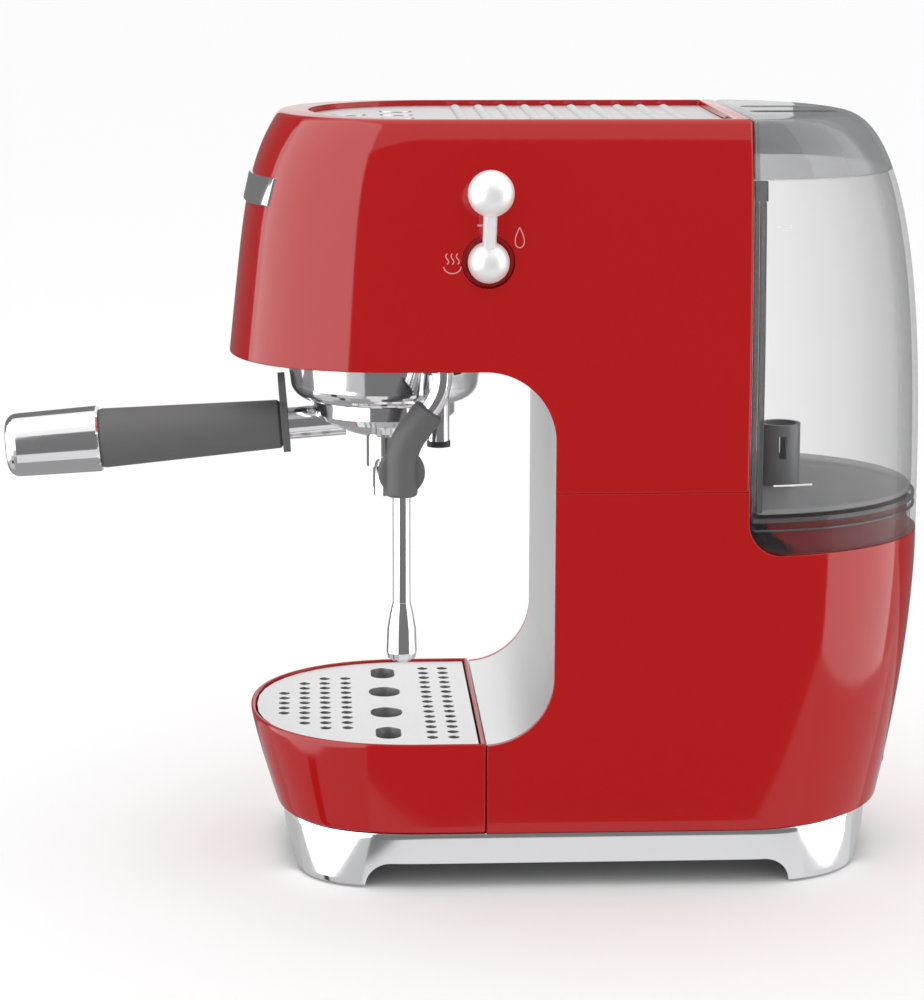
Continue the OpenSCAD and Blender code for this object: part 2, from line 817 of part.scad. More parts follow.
module drip_grille() {
    z0 = floor_z - grille_t;
    color(steel) difference() {
        union() {
            translate([0, 0, z0]) linear_extrude(grille_t) polygon(tray_outline(tray_top, 2.8));
            translate([0, 0, z0 - 5]) each_slot(1, 6);
            translate([0, 0, basin_top + 0.1]) linear_extrude(z0 - basin_top)
                difference() {
                polygon(tray_outline(tray_top, 3.6));
                polygon(tray_outline(tray_top, 4.8));
            }
        }
        translate([0, 0, z0 - 10]) each_slot(0, 30);
        for (row = drain_rows) for (i = [0:row[1] - 1])
            rod([(i - (row[1] - 1) / 2) * drain_pitch, row[0], z0 - 1], drain_d / 2, 4);
    }
}

tank_front = tank_y + gap;
tank_wall = 2.5;
tank_levels = [tank_z, 170, 200, 226, 245, 265, 285, lid_z];
tank_floor = 161;
module tank_shell() {
    color(smoke) difference() {
        intersection() {
            loft([for (z = tank_levels) at_z(rear_outline(z, tank_front, 0), z)]);
            tank_void(-gap);
        }
        loft([for (z = [tank_floor + tank_wall, 200, 226, 245, 265, 285, lid_z + 1])
            at_z(rear_outline(z, tank_front, tank_wall), z)]);
        intersection() {
            loft([for (z = [tank_z - 1, tank_floor])
                at_z(rear_outline(z, tank_front, tank_wall), z)]);
            union() {
                tank_void(-gap - tank_wall);
                box([-80, tank_y + notch_r, tank_z - 2], [80, 200, tank_z + 6]);
            }
        }
        rod([coupling_at[0], coupling_at[1], tank_z], bore_r, 30);
    }
}

sleeve_r = 9;
sleeve_top = 193;
bore_r = 5.2;
module tank_valve() {
    base = tank_floor + tank_wall;
    color(grey) translate([coupling_at[0], coupling_at[1], 0]) difference() {
        union() {
            ring(sleeve_r, sleeve_r - 1.8, base, sleeve_top);
            rod([0, 0, base], sleeve_r, 12);
        }
        rod([0, 0, tank_floor], bore_r, 10);
        rod([0, 0, tank_floor], 3, 20);
        for (a = [0:90:270]) rotate(a) box([5, -1.5, 178], [sleeve_r + 3, 1.5, 188]);
    }
}

module tank_coupling() {
    color(grey) translate([coupling_at[0], coupling_at[1], 0]) difference() {
        union() {
            rod([0, 0, 130], 4, 12);
            rod([0, 0, 138], 6, pedestal_top - 138);
            rod([0, 0, pedestal_top - 2], 4.4, 11);
        }
        ring(5, 3.6, 165, 167);
        rod([0, 0, 120], 2.2, 60);
    }
}

module coupling_seal() {
    color(rubber) translate([coupling_at[0], coupling_at[1], 0]) ring(4.9, 3.6, 165, 167);
}

pocket_x = 15;
pocket_y = 92;
pocket_z = 314;
module pockets(d, h) {
    for (x = [-pocket_x, pocket_x]) translate([x, pocket_y, pocket_z - d]) slot(11, 38, d, h);
}

lid_levels = [lid_z + gap, 312, 318, 323, 327, 329, body_h];
module tank_lid() {
    color(smoke) difference() {
        union() {
            difference() {
                loft([for (z = lid_levels) at_z(rear_outline(z, tank_front, 0), z)]);
                loft([for (z = [lid_z, 312, 318, 323, body_h - 2])
                    at_z(rear_outline(z, tank_front, 2.2), z)]);
            }
            pockets(1.8, body_h + 0.8 - pocket_z);
        }
        pockets(0, 30);
    }
}

module cord_gland() {
    y = rear_y(gland_z);
    color(dark) translate([0, 0, gland_z]) difference() {
        union() {
            rod_y([0, y - 12, 0], 6.5, 12.6);
            rod_y([0, y - 12, 0], 9, 6.5);
        }
        rod_y([0, y - 20, 0], 3.5, 40);
    }
}

suction_path = [[12, 90, 130], [12, 90, 122], [12, 86, 114], [12, 76, 110], [11, 64, 108],
    [9, 58, 98], [6, 56, 70], [2, 46, 52], [0, 34, 46], [0, 22, 46], [0, 18, 50], [0, 18, 56]];
module suction_hose() {
    color(steel) hose(suction_path, 3, 10);
}

pressure_path = [[0, 18, 134], [0, 18, 150], [2, 18, 190], [6, 14, 220], [12, 0, 244],
    [17, -18, 257], [20, -30, 262], [20, -40, 262]];
module pressure_hose() {
    color(steel) hose(pressure_path, 2.5, 10);
}

badge_levels = [292, 304];
badge_half = 43;
badge_lift = 1.4;
module nose_badge() {
    color(chrome) difference() {
        intersection() {
            loft([for (z = badge_levels) at_z(head_outline(z, -badge_lift), z)]);
            box([-badge_half, -body_h, 0], [badge_half, head_cy, body_h]);
        }
        loft([for (z = head_levels) at_z(head_outline(z, 0), z)]);
    }
}

upper_housing();
lower_housing();
niche_panel();
base_ring();
base_plate();
foot_pads();
base_screws();
inner_frame();
top_plate();
control_board();
thermoblock();
thermoblock_screws();
group_head();
bayonet_ring();
group_shroud();
group_gasket();
shower_screen();
shower_screw();
pump();
pump_mounts();
steam_valve();
lever_bezel();
water_nozzle();
nozzle_ring();
wand_socket();
tank_coupling();
coupling_seal();
suction_hose();
pressure_hose();
cord_gland();
nose_badge();
lever_spindle();
lever_hub();
lever_stem();
lever_knob();
wand_collar();
wand_ball();
wand_pipe();
wand_grip();
wand_tube();
wand_nozzle();
portafilter_bowl();
portafilter_neck();
portafilter_spout();
filter_basket();
handle_flange();
handle_rod();
handle_grip();
handle_cap();
tray_front();
tray_basin();
drip_grille();
tank_shell();
tank_valve();
tank_lid();
button_front();
button_left();
button_middle();
button_right();
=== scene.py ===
"""Looks of the slim pump espresso machine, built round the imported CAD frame.

Shapes are worked out in millimetres and written in metres. X points to the user's right,
-Y to the front, Z up.
"""
import json
import math

import bmesh
import bpy
from mathutils import Matrix, Vector


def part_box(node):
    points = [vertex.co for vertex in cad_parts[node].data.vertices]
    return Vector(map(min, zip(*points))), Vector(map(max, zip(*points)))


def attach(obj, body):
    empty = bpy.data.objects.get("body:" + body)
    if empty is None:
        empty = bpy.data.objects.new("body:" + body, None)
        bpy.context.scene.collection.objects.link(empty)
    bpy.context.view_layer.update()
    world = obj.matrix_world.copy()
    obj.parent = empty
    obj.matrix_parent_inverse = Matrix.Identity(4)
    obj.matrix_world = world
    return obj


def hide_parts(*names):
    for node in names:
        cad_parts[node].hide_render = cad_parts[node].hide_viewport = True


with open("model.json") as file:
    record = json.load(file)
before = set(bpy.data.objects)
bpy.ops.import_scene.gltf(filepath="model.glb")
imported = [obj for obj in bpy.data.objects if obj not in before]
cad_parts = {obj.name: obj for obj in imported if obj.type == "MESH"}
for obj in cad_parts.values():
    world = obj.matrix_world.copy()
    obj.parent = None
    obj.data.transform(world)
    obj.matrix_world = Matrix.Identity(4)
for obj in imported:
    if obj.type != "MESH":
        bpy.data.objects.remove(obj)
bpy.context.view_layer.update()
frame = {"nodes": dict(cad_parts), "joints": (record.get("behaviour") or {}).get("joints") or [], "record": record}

MM = 0.001


def mm_box(node):
    low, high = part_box(node)
    return low / MM, high / MM


# What the frame gives.
HEAD_LOW, HEAD_HIGH = mm_box("upper_housing")
LINER_LOW, LINER_HIGH = mm_box("niche_panel")
TRAY_LOW, TRAY_HIGH = mm_box("tray_front")
BASE_LOW, BASE_HIGH = mm_box("base_ring")
TANK_LOW, TANK_HIGH = mm_box("tank_shell")
LID_LOW, LID_HIGH = mm_box("tank_lid")
PLATE_LOW, PLATE_HIGH = mm_box("top_plate")
BADGE_LOW, BADGE_HIGH = mm_box("nose_badge")
BEZEL_LOW, BEZEL_HIGH = mm_box("lever_bezel")
BASIN_LOW, BASIN_HIGH = mm_box("tray_basin")

# Thicknesses and clearances, as in the CAD.
GAP = 0.4
PANEL_T = 1.0
RIM = 3.0
WALL = 2.5

# Driving sizes, worked out from the frame.
HALF_W = HEAD_HIGH.x
BODY_H = HEAD_HIGH.z
SEAM_Z = HEAD_LOW.z
TANK_Y = HEAD_HIGH.y
HEAD_Z = LINER_HIGH.z - PANEL_T
FLOOR_Z = LINER_LOW.z + PANEL_T
NICHE_Y = LINER_HIGH.y - PANEL_T
TRAY_Y = TRAY_HIGH.y + GAP
TRAY_TIP = TRAY_LOW.y
SKIRT_Z = BASE_HIGH.z
TANK_Z = TANK_LOW.z - GAP
LID_Z = TANK_HIGH.z
REAR_TIP = TANK_HIGH.y

# Shape of the outlines, as in the CAD. The sides and the nose lean in above the head's underside.
LEAN_W = 13.5
LEAN_Y = 9.0
LEAN_POWER = 5.5
HEAD_CY = -78.0
HEAD_N = 2.25
TRAY_CY = -70.0
LOW_CY = -60.0
LOW_TIP = -133.6
LOW_N = 2.8
TOP_REAR = 113.0
BULGE_Z = 140.0
NICHE_R = 30.0
NOTCH_R = 15.0

# Upright corners, the seam's rounding, and the fit of the top plate and the tank's skirt.
EDGE_R = 0.7
HEAD_EDGE_R = 1.6
TANK_EDGE_R = 1.5
SEAM_R = 0.5
PLATE_SPARE = 0.35
PLATE_LEDGE = 5
SKIRT_SPARE = 0.025

# Fineness of the meshes, the radius of a lathe's poles, and a length past everything.
NOTCH_STEPS = 30
INNER_STEPS = 48
TINY = 0.01
FAR = 120.0


# ---------------------------------------------------------------- outlines

def spread(low, high, n):
    """The n + 1 evenly spaced values from low to high."""
    return [low + (high - low) * i / n for i in range(n + 1)]


def polar(r, degrees):
    a = math.radians(degrees)
    return r * math.cos(a), r * math.sin(a)


def signed_power(v, e):
    return math.copysign(abs(v) ** e, v)


def arc(w, b, cy, n, start, end, steps):
    """Points of a superellipse centred at (0, cy), angles in degrees."""
    return [(w * signed_power(math.cos(t), 2 / n), cy + b * signed_power(math.sin(t), 2 / n))
            for t in spread(math.radians(start), math.radians(end), steps)]


def corner(x, y, r, start, steps=4):
    """Quarter circle round a centre, for a rounded corner."""
    return [(x + px, y + py) for px, py in (polar(r, a) for a in spread(start, start + 90, steps))]


def rear_corners(w, back, r):
    """The two rounded corners that close an outline along its straight back."""
    return corner(w - r, back - r, r, 0) + corner(r - w, back - r, r, 90)


def lean(z):
    """How far the body has leaned in at height z, from 0 at the head's underside to 1 at the top."""
    t = max(0.0, z - HEAD_Z) / (BODY_H - HEAD_Z)
    return (t + t ** LEAN_POWER) / 2


def side_w(z):
    """Half width of the body at height z."""
    return HALF_W - LEAN_W * lean(z)


def rear_y(z):
    """Rearmost Y of the body at height z: bulged above, drawn in towards the base."""
    if z > BULGE_Z:
        rise = (z - BULGE_Z) / (BODY_H - BULGE_Z)
        return TOP_REAR + (REAR_TIP - TOP_REAR) * max(0.0, 1 - rise ** 3) ** 0.44
    return REAR_TIP - 11.7 * ((BULGE_Z - z) / 100) ** 1.7


def head_outline(z, d, steps=96):
    """Round nose and straight back of the head and its column, inset by d."""
    w = side_w(z) - d
    f = lean(z)
    return (arc(w, HALF_W - LEAN_W * f - d, HEAD_CY + LEAN_Y * f, HEAD_N, 180, 360, steps)
            + rear_corners(w, TANK_Y - d, HEAD_EDGE_R))


def rear_outline(z, y, d, steps=72, r=EDGE_R):
    """Flat front at y with small rounded corners, elliptical rear."""
    w = side_w(z) - d
    b = rear_y(z) - TANK_Y - d
    start = math.asin(max(0.0, y + d + r - TANK_Y) / b)
    x = w * math.cos(start)
    front = y + d
    edge = [(-x + r * (1 - math.cos(math.radians(a))), front + r * (1 - math.sin(math.radians(a))))
            for a in (0, 22.5, 45, 67.5, 90)]
    rear = [(w * math.cos(t), TANK_Y + b * math.sin(t)) for t in spread(start, math.pi - start, steps)]
    return edge + [(-px, py) for px, py in reversed(edge)] + rear


def tray_outline(z, d, steps=96):
    """Drip tray, which narrows towards the base, inset by d."""
    u = (max(0.0, FLOOR_Z + 1 - z) / (FLOOR_Z + 1 - SKIRT_Z)) ** 1.2
    cy = TRAY_CY + (LOW_CY - TRAY_CY) * u
    tip = TRAY_TIP + (LOW_TIP - TRAY_TIP) * u
    w = HALF_W - d
    return (arc(w, cy - tip - d, cy, HEAD_N + (LOW_N - HEAD_N) * u, 180, 360, steps)
            + rear_corners(w, TRAY_Y - GAP - d, EDGE_R))


def base_outline(u, d, steps=72):
    """Base ring, u from 0 at its top edge to 1 at the feet, inset by d."""
    w = HALF_W - 0.8 - 0.7 * u - d
    return (arc(w, 71.5 - 3.5 * u - d, LOW_CY, LOW_N + 0.7 * u, 180, 360, steps)
            + arc(w, 65 - 3 * u - d, TANK_Y, 2.1 + 0.4 * u, 0, 180, steps))


def notch_front(z, e):
    """Front of what stands in the tank's notch at height z, inset by e."""
    centre = TANK_Z + NOTCH_R
    r = NOTCH_R - e
    if z >= centre:
        return TANK_Y + e
    return TANK_Y + NOTCH_R - math.sqrt(max(0.0, r * r - (centre - z) ** 2))


def rounded(z_low, z_high, r, steps=4, top=True):
    """Pairs (height, inset) that round the lower and, if asked, the upper edge of a wall by r."""
    turn = spread(0, math.pi / 2, steps)
    low = [(z_low + r * (1 - math.cos(a)), r * (1 - math.sin(a))) for a in turn]
    high = [(z_high - r * (1 - math.sin(a)), r * (1 - math.cos(a))) for a in turn] if top else [(z_high, 0)]
    return low, high


def levels(z_low, z_high, r, inner, top=True):
    """Pairs (height, inset) of a wall with rounded edges and some plain levels between them."""
    low, high = rounded(z_low, z_high, r, top=top)
    between = spread(low[-1][0], high[0][0], inner + 1)[1:-1]
    return low + [(z, 0) for z in between] + high


# ---------------------------------------------------------------- meshes

def mesh_object(name, points, faces):
    mesh = bpy.data.meshes.new(name)
    mesh.from_pydata([tuple(c * MM for c in p) for p in points], [], faces)
    obj = bpy.data.objects.new(name, mesh)
    bpy.context.scene.collection.objects.link(obj)
    return obj


def loft(name, rings):
    """Closed solid through rings of 3-D points, each with the same number of points."""
    n = len(rings[0])
    faces = []
    for k in range(len(rings) - 1):
        for i in range(n):
            j = (i + 1) % n
            faces.append((k * n + i, k * n + j, (k + 1) * n + j, (k + 1) * n + i))
    faces.append(tuple(range(n - 1, -1, -1)))
    faces.append(tuple((len(rings) - 1) * n + i for i in range(n)))
    return mesh_object(name, [p for ring in rings for p in ring], faces)


def closed_loft(name, rings):
    """Hoop whose section goes once round through the rings: up outside and down inside."""
    n, m = len(rings[0]), len(rings)
    faces = [(k * n + i, k * n + (i + 1) % n, (k + 1) % m * n + (i + 1) % n, (k + 1) % m * n + i)
             for k in range(m) for i in range(n)]
    return mesh_object(name, [p for ring in rings for p in ring], faces)


def at_z(outline, z):
    return [(x, y, z) for x, y in outline]


def prism(name, outline, z0, z1):
    return loft(name, [at_z(outline, z0), at_z(outline, z1)])


def prism_x(name, outline, x0, x1):
    """Solid between two X planes from an outline of (Y, Z) points, counter-clockwise from +X."""
    return loft(name, [[(x, y, z) for y, z in outline] for x in (x0, x1)])


def disc_outline(x, y, r, steps=48):
    return [(x + px, y + py) for px, py in (polar(r, 360 * i / steps) for i in range(steps))]


def lathe(name, profile, matrix, steps=96):
    """Solid of revolution from (radius, height) points, bottom to top, on the frame's Z."""
    return loft(name, [[matrix @ Vector((x, y, h)) for x, y in disc_outline(0, 0, r, steps)]
                       for r, h in profile])


def across_x(x, y, z):
    """Placement at a point with the lathe's axis turned along X."""
    return Matrix.Translation((x, y, z)) @ Matrix.Rotation(math.pi / 2, 4, "Y")


def sweep(name, path, radii, steps=32):
    """Round bar along a path in a plane of constant X."""
    rings = []
    last = len(path) - 1
    for i, p in enumerate(path):
        along = (Vector(path[min(i + 1, last)]) - Vector(path[max(i - 1, 0)])).normalized()
        across = along.cross(Vector((1, 0, 0))).normalized()
        other = along.cross(across)
        rings.append([Vector(p) + radii[i] * (math.cos(a) * across + math.sin(a) * other)
                      for a in spread(0, 2 * math.pi, steps)[:-1]])
    return loft(name, rings)


def combine(obj, tool, how):
    """Boolean of obj with tool, which is used up."""
    change = obj.modifiers.new("combine", "BOOLEAN")
    change.object = tool
    change.operation = how
    change.solver = "EXACT"
    result = bpy.data.meshes.new_from_object(obj.evaluated_get(bpy.context.evaluated_depsgraph_get()))
    obj.modifiers.clear()
    obj.data = result
    bpy.data.objects.remove(tool)
    return obj


def cut(obj, *tools):
    for tool in tools:
        combine(obj, tool, "DIFFERENCE")
    return obj


def finish_mesh(obj, angle=32.0):
    """Welds stray doubles and shades smooth, with edges over the angle kept sharp."""
    edit = bmesh.new()
    edit.from_mesh(obj.data)
    bmesh.ops.remove_doubles(edit, verts=edit.verts, dist=1e-6)
    bmesh.ops.dissolve_degenerate(edit, edges=edit.edges, dist=1e-6)
    edit.to_mesh(obj.data)
    edit.free()
    for face in obj.data.polygons:
        face.use_smooth = True
    obj.data.set_sharp_from_angle(angle=math.radians(angle))


def piece(obj, body, slot, material, *nodes, angle=32.0):
    """A finished piece: its mesh, material, body and the CAD nodes it stands for; the slot argument is not used.
    """
    finish_mesh(obj, angle)
    obj.data.materials.clear()
    obj.data.materials.append(material)
    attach(obj, body)
    if nodes:
        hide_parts(*nodes)
    return obj


# ---------------------------------------------------------------- materials

def material(name, colour, rough, metallic=0.0, grain=600.0, bump=0.05, stretch=(1, 1, 1),
             mottle=0.04, rough_spread=0.05, edge=0.0005, **sockets):
    """Principled surface with fine grain, uneven gloss, a little colour variation and soft edges."""
    made = bpy.data.materials.new(name)
    made.use_nodes = True
    nodes, links = made.node_tree.nodes, made.node_tree.links
    shader = nodes["Principled BSDF"]
    place = nodes.new("ShaderNodeTexCoord")
    scale = nodes.new("ShaderNodeMapping")
    scale.inputs["Scale"].default_value = stretch
    links.new(place.outputs["Object"], scale.inputs["Vector"])
    fine = nodes.new("ShaderNodeTexNoise")
    fine.inputs["Scale"].default_value = grain
    fine.inputs["Detail"].default_value = 4
    links.new(scale.outputs["Vector"], fine.inputs["Vector"])
    broad = nodes.new("ShaderNodeTexNoise")
    broad.inputs["Scale"].default_value = 14
    links.new(place.outputs["Object"], broad.inputs["Vector"])
    tint = nodes.new("ShaderNodeMix")
    tint.data_type = "RGBA"
    tint.inputs["A"].default_value = (*[c * (1 - mottle) for c in colour], 1)
    tint.inputs["B"].default_value = (*[min(1, c * (1 + mottle)) for c in colour], 1)
    links.new(broad.outputs["Fac"], tint.inputs["Factor"])
    links.new(tint.outputs["Result"], shader.inputs["Base Color"])
    gloss = nodes.new("ShaderNodeMapRange")
    gloss.inputs["To Min"].default_value = max(0.02, rough - rough_spread)
    gloss.inputs["To Max"].default_value = rough + rough_spread
    links.new(fine.outputs["Fac"], gloss.inputs["Value"])
    links.new(gloss.outputs["Result"], shader.inputs["Roughness"])
    relief = nodes.new("ShaderNodeBump")
    relief.inputs["Strength"].default_value = bump
    relief.inputs["Distance"].default_value = 0.0002
    links.new(fine.outputs["Fac"], relief.inputs["Height"])
    if edge:
        soft = nodes.new("ShaderNodeBevel")
        soft.samples = 4
        soft.inputs["Radius"].default_value = edge
        links.new(soft.outputs["Normal"], relief.inputs["Normal"])
    links.new(relief.outputs["Normal"], shader.inputs["Normal"])
    shader.inputs["Metallic"].default_value = metallic
    for socket, value in sockets.items():
        shader.inputs[socket.replace("_", " ")].default_value = value
    return made


def clear_plastic(name, colour, thin, thick):
    """Smoky clear plastic, opacity thin face on to thick edge on."""
    made = material(name, colour, 0.06, grain=90, bump=0.01, mottle=0.02, rough_spread=0.01, edge=0)
    nodes, links = made.node_tree.nodes, made.node_tree.links
    facing = nodes.new("ShaderNodeLayerWeight")
    facing.inputs["Blend"].default_value = 0.35
    density = nodes.new("ShaderNodeMapRange")
    density.inputs["To Min"].default_value = thin
    density.inputs["To Max"].default_value = thick
    links.new(facing.outputs["Facing"], density.inputs["Value"])
    links.new(density.outputs["Result"], nodes["Principled BSDF"].inputs["Alpha"])
    return made


def linear(*srgb):
    """Linear colour from 8-bit sRGB values."""
    return tuple(v / 255 / 12.92 if v <= 10 else ((v / 255 + 0.055) / 1.055) ** 2.4 for v in srgb)


RED = material("red_enamel", linear(176, 16, 18), 0.07, grain=420, bump=0.012, mottle=0.02, rough_spread=0.02,
               edge=0.0008, Specular_IOR_Level=0.48)
SATIN = material("satin_steel", linear(232, 232, 232), 0.34, 1.0, grain=900, bump=0.03, stretch=(0.06, 1, 1),
                 mottle=0.015, rough_spread=0.05, edge=0.0003)
CHROME = material("polished_chrome", linear(236, 236, 238), 0.09, 1.0, grain=300, bump=0.006, mottle=0.01,
                  rough_spread=0.02, edge=0.0004)
# Darker copy of the satin steel for the top plate and its buttons: painted shade, as the upward-facing top takes
# the strong top light.
SHADED_PLATE_SATIN = material("satin_plate_painted_shade", linear(206, 206, 206), 0.34, 1.0, grain=900, bump=0.03, stretch=(0.06, 1, 1),
                 mottle=0.015, rough_spread=0.05, edge=0.0003)
PEARL = material("satin_silver", linear(240, 240, 240), 0.36, 0.3, grain=900, bump=0.01, mottle=0.01)
RUBBER = material("grey_rubber", linear(94, 94, 95), 0.55, grain=1400, bump=0.12, mottle=0.04)
DARK = material("dark_plastic", linear(44, 44, 46), 0.45, grain=1200, bump=0.08, mottle=0.05)
BLACK = material("black_rubber", linear(24, 24, 24), 0.7, grain=1400, bump=0.15, mottle=0.08)
GREY = material("grey_plastic", linear(118, 119, 121), 0.35, grain=1000, bump=0.05, mottle=0.03)
BRASS = material("cast_brass", linear(205, 170, 100), 0.3, 1.0, grain=500, bump=0.08, mottle=0.08)
ALUMINIUM = material("cast_aluminium", linear(170, 171, 175), 0.45, 1.0, grain=700, bump=0.2, mottle=0.08)
BOARD = material("circuit_board", linear(24, 92, 56), 0.35, grain=300, bump=0.05, mottle=0.25)
ZINC = material("zinc_steel", linear(165, 168, 172), 0.3, 1.0, grain=600, bump=0.08, mottle=0.06)
INK = material("icon_ink", linear(214, 150, 150), 0.5, grain=900, bump=0.02, edge=0)
WHITE = material("level_ink", linear(250, 250, 250), 0.4, grain=900, bump=0.02, edge=0)
TANK = clear_plastic("smoky_clear", linear(126, 127, 128), 0.045, 0.5)
LID = clear_plastic("smoky_lid", linear(150, 151, 153), 0.42, 0.9)
RING_GREY = clear_plastic("smoky_ring", linear(96, 97, 99), 0.7, 0.95)
FLOOR_GREY = clear_plastic("smoky_floor", linear(206, 207, 208), 0.4, 0.75)
DEEP_RED = material("deep_red", linear(126, 8, 10), 0.5, grain=420, bump=0.02, Specular_IOR_Level=0.1)

SLOT_MATERIAL = {
    "red_paint": RED, "satin_steel": SATIN, "chrome": CHROME, "grey_rubber": RUBBER, "dark_plastic": DARK,
    "grey_plastic": GREY, "black_rubber": BLACK, "smoke_clear": TANK, "brass": BRASS,
    "cast_aluminium": ALUMINIUM, "board_green": BOARD, "zinc_steel": ZINC,
}

# Nodes that look different from their slot in the photograph. The top plate and its buttons are the same satin
# steel, darkened as painted shade on the upward-facing top.
NODE_MATERIAL = {"lever_hub": PEARL, "lever_stem": PEARL, "lever_knob": PEARL, "top_plate": SHADED_PLATE_SATIN,
                 "button_front": SHADED_PLATE_SATIN, "button_left": SHADED_PLATE_SATIN, "button_middle": SHADED_PLATE_SATIN, "button_right": SHADED_PLATE_SATIN}

for row in frame["record"]["subparts"]:
    node = frame["nodes"][row["node"]]
    node.data.materials.clear()
    node.data.materials.append(NODE_MATERIAL.get(row["node"], SLOT_MATERIAL[row["material_slot"]]))


# ---------------------------------------------------------------- housing

def niche_profile(e):
    """(Y, Z) outline of the cup niche, grown by e, counter-clockwise from +X."""
    r = NICHE_R + e
    cy = NICHE_Y - NICHE_R
    low = corner(cy, FLOOR_Z + NICHE_R, r, -90, NOTCH_STEPS)
    high = corner(cy, HEAD_Z - NICHE_R, r, 0, NOTCH_STEPS)
    return [(-2 * FAR, FLOOR_Z - e)] + low + high + [(-2 * FAR, HEAD_Z + e)]


def niche_tool(e):
    return prism_x("tool", niche_profile(e), -FAR, FAR)


def notch_tool(e):
    """The tank's notch, grown by e into the housing."""
    cy = TANK_Y + NOTCH_R
    r = NOTCH_R + e
    low = corner(cy, TANK_Z + NOTCH_R, r, 180, NOTCH_STEPS)
    outline = low + [(2 * FAR, TANK_Z - e), (2 * FAR, 4 * FAR), (TANK_Y - e, 4 * FAR)]
    return prism_x("tool", outline, -FAR, FAR)


def liner_pocket():
    """Space of the niche's liner, for the shells that it lies in."""
    within = prism("tool", head_outline(HEAD_Z, RIM - 0.1), 0, 2 * FAR)
    return combine(niche_tool(PANEL_T + 0.05), within, "INTERSECT")


def plate_outline(d):
    """Top plate's outline, inset by d."""
    w = PLATE_HIGH.x - d
    return arc(w, w, PLATE_LOW.y + PLATE_HIGH.x, 2, 180, 360, 64) + rear_corners(w, PLATE_HIGH.y - d, 1)


def holes_in_head():
    """Tools for the group's, the wand's and the water nozzle's holes in the head's underside."""
    spare = 0.3
    tools = []
    for name in ("group_head", "wand_socket", "water_nozzle"):
        low, high = mm_box(name)
        centre = (low + high) / 2
        round_hole = disc_outline(centre.x, centre.y, (high.x - low.x) / 2 + spare)
        tools.append(prism("tool", round_hole, HEAD_Z - 4, HEAD_Z + 8))
    return tools


def joint_at(name):
    """Where a joint stands, in millimetres."""
    return Vector(next(j["pos_m"] for j in frame["joints"] if j["name"] == name)) / MM


LEVER_AT = joint_at("lever_turn")


def head_shell():
    """Red head and column, open below and under the top plate."""
    top_r = 1.8
    rings = [at_z(head_outline(z, d), z) for z, d in levels(SEAM_Z, BODY_H, SEAM_R, 0, top=False)[:-1]]
    rings += [at_z(head_outline(z, 0), z) for z in spread(HEAD_Z, BODY_H - top_r, 26)]
    rings += [at_z(head_outline(z, d), z) for z, d in rounded(0, BODY_H, top_r)[1]]
    shell = loft("head_shell", rings)
    hollow = [SEAM_Z - 1] + spread(HEAD_Z, PLATE_LOW.z - 3, 8)
    inner = loft("tool", [at_z(head_outline(z, WALL, INNER_STEPS), z) for z in hollow])
    cut(inner, niche_tool(PANEL_T + WALL))
    bore_r = (BEZEL_HIGH.z - BEZEL_LOW.z) / 2
    bore = lathe("tool", [(TINY, 0), (bore_r, 0), (bore_r, 20), (TINY, 20)],
                 across_x(HALF_W - 10, LEVER_AT.y, LEVER_AT.z))
    seat = prism("tool", plate_outline(-PLATE_SPARE), PLATE_LOW.z, BODY_H + 9)
    opening = prism("tool", plate_outline(PLATE_LEDGE), PLATE_LOW.z - 9, BODY_H)
    cut(shell, niche_tool(0), liner_pocket(), inner, seat, opening, bore, *holes_in_head())
    return piece(shell, "machine", "red_paint", RED, "upper_housing")


def body_shell():
    """Red lower housing, with the tank's notch at its rear."""
    stack = levels(SKIRT_Z + 0.2, SEAM_Z, SEAM_R, 34)
    shell = loft("body_shell", [at_z(rear_outline(z, TRAY_Y, d), z) for z, d in stack])
    hollow = [SKIRT_Z - 1] + spread(SKIRT_Z, SEAM_Z, 8)[1:-1] + [SEAM_Z + 1]
    inner = loft("tool", [at_z(rear_outline(z, TRAY_Y, WALL, INNER_STEPS), z) for z in hollow])
    cut(inner, niche_tool(PANEL_T + WALL), notch_tool(WALL))
    cut(shell, niche_tool(0), liner_pocket(), notch_tool(0), inner)
    return piece(shell, "machine", "red_paint", RED, "lower_housing")


def tank_pedestal():
    """The step inside the notch that the tank's skirt drops over."""
    height, inset = 14, 4
    stack = [(-1, 0), (2, 0), (4.5, 0), (7, 0), (10, 0), (height - 1, 0), (height - 0.3, 0.3), (height, 1)]
    fronts = [notch_front(TANK_Z + max(h, inset), inset) for h, _ in stack]
    rings = [at_z(rear_outline(TANK_Z + h, front, inset + d, r=3), TANK_Z + h)
             for (h, d), front in zip(stack, fronts)]
    return piece(loft("tank_pedestal", rings), "machine", "red_paint", DEEP_RED)


def niche_liner():
    """Bent sheet behind the cups, up over the underside of the head."""
    outside = niche_profile(PANEL_T)[1:]
    inside = niche_profile(0)[1:]
    sheet = prism_x("niche_liner", outside + inside[::-1], -FAR, FAR)
    combine(sheet, prism("tool", head_outline(HEAD_Z, RIM), 0, 2 * FAR), "INTERSECT")
    over_tray = [(-FAR, -2 * FAR), (FAR, -2 * FAR), (FAR, TRAY_Y), (-FAR, TRAY_Y)]
    cut(sheet, prism("tool", over_tray, 0, FLOOR_Z + 9), *holes_in_head())
    return piece(sheet, "machine", "satin_steel", SATIN, "niche_panel")


